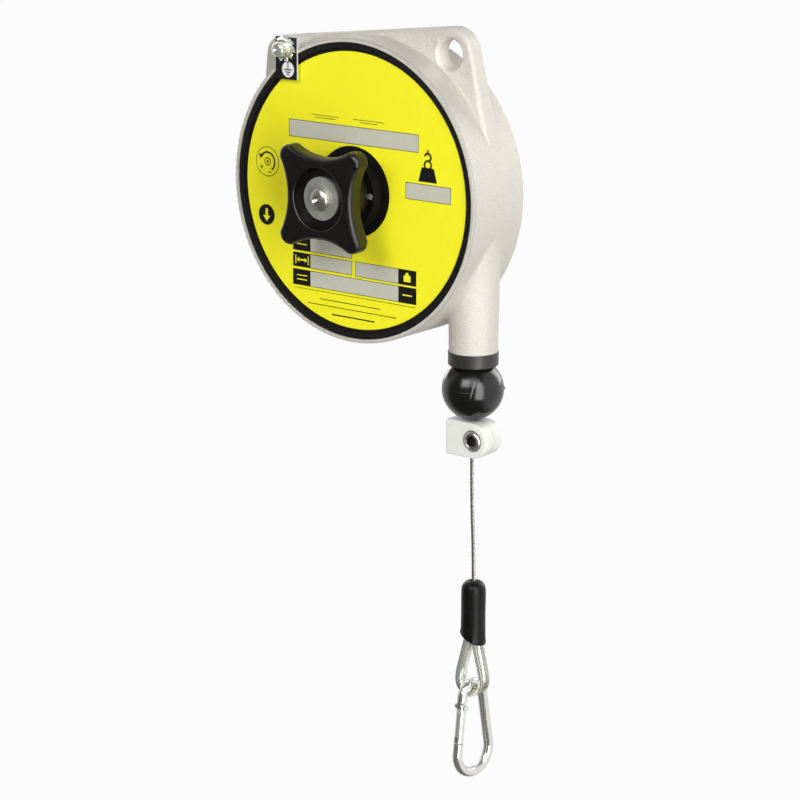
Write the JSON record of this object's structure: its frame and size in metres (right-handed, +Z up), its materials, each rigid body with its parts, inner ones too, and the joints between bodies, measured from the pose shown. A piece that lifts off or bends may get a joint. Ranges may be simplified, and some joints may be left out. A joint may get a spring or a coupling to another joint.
{
  "type": "tool balancer",
  "caption": "Spring balancer that hangs a hand tool: cast drum case with label, tension knob, wire rope, buffer ball, rope clamp and snap hook.",
  "frame": {"origin": "centre of the suspension hole, in the middle of the ear's thickness", "axes": "+Z up, +X to the right as seen from the label side, -Y towards the label and knob"},
  "size_m": [0.1497, 0.0673, 0.3759],
  "materials": {
    "cast_aluminium": "fine blasted casting",
    "black_steel": "satin black",
    "dark_steel": "dark turned",
    "yellow_film": "printed film",
    "black_plastic": "satin moulded",
    "black_rubber": "smooth moulded",
    "white_nylon": "milky, slightly translucent",
    "zinc_steel": "zinc plated",
    "bare_steel": "turned",
    "spring_steel": "rolled and hardened",
    "bronze": "sintered",
    "drum_plastic": "moulded",
    "wire_rope": "stranded wire",
    "soft_aluminium": "swaged"
  },
  "bodies": {
    "housing": {"housing": "cast_aluminium", "front_cover": "black_steel", "front_label": "yellow_film", "retaining_ring": "black_steel", "knob_collar": "dark_steel", "collar_screws": "zinc_steel", "rear_bush": "bronze", "outlet_bush": "black_plastic", "pawl_leaf": "spring_steel", "pawl_rivets": "bare_steel", "earth_tag": "black_steel", "earth_washers": "zinc_steel", "earth_screw": "zinc_steel"},
    "drum": {"drum": "drum_plastic", "drum_cover": "zinc_steel", "drum_cover_screws": "zinc_steel", "drum_bushes": "bronze", "power_spring": "spring_steel", "rope_winding": "wire_rope"},
    "knob": {"tension_knob": "black_plastic", "knob_washer": "zinc_steel", "knob_screw": "zinc_steel", "spring_arbor": "bare_steel", "ratchet_wheel": "bare_steel"},
    "hook_line": {"buffer_ball": "black_rubber", "clamp_front": "white_nylon", "clamp_rear": "white_nylon", "clamp_screw": "zinc_steel", "clamp_nut": "zinc_steel", "rope_lead": "wire_rope", "rope_tail": "wire_rope", "sleeve": "black_plastic", "ferrule": "soft_aluminium", "thimble": "zinc_steel", "rope_eye": "wire_rope"},
    "carabiner": {"carabiner_body": "zinc_steel", "gate_pin": "zinc_steel"},
    "gate": {"carabiner_gate": "zinc_steel"}
  },
  "joints": [
    {"name": "rope_pull", "type": "slide", "parent": "housing", "child": "hook_line", "axis": [0, 0, -1], "range_m": [0, 1.6], "stiffness_N_per_m": 4, "springref_m": -3, "deforming": ["rope_lead", "power_spring"]},
    {"name": "drum_spin", "type": "hinge", "parent": "housing", "child": "drum", "pos_m": [-0.0462, -0.02, -0.069], "axis": [0, 1, 0], "range_deg": [0, 1535]},
    {"name": "knob_turn", "type": "hinge", "parent": "housing", "child": "knob", "pos_m": [-0.0462, -0.02, -0.069], "axis": [0, -1, 0], "range_deg": [0, 1440], "deforming": ["pawl_leaf", "power_spring"]},
    {"name": "carabiner_swing", "type": "hinge", "parent": "hook_line", "child": "carabiner", "pos_m": [0.0158, -0.0016, -0.32], "axis": [0.9903, -0.1392, 0], "range_deg": [-60, 60]},
    {"name": "gate_open", "type": "hinge", "parent": "carabiner", "child": "gate", "pos_m": [0.01475, -0.00905, -0.32386], "axis": [0.9903, -0.1392, 0], "range_deg": [0, 25], "stiffness_Nm_per_rad": 0.02, "springref_deg": -22.92}
  ],
  "couplings": [
    {"joint": "drum_spin", "follows": "rope_pull", "rad_per_m": 16.667}
  ]
}
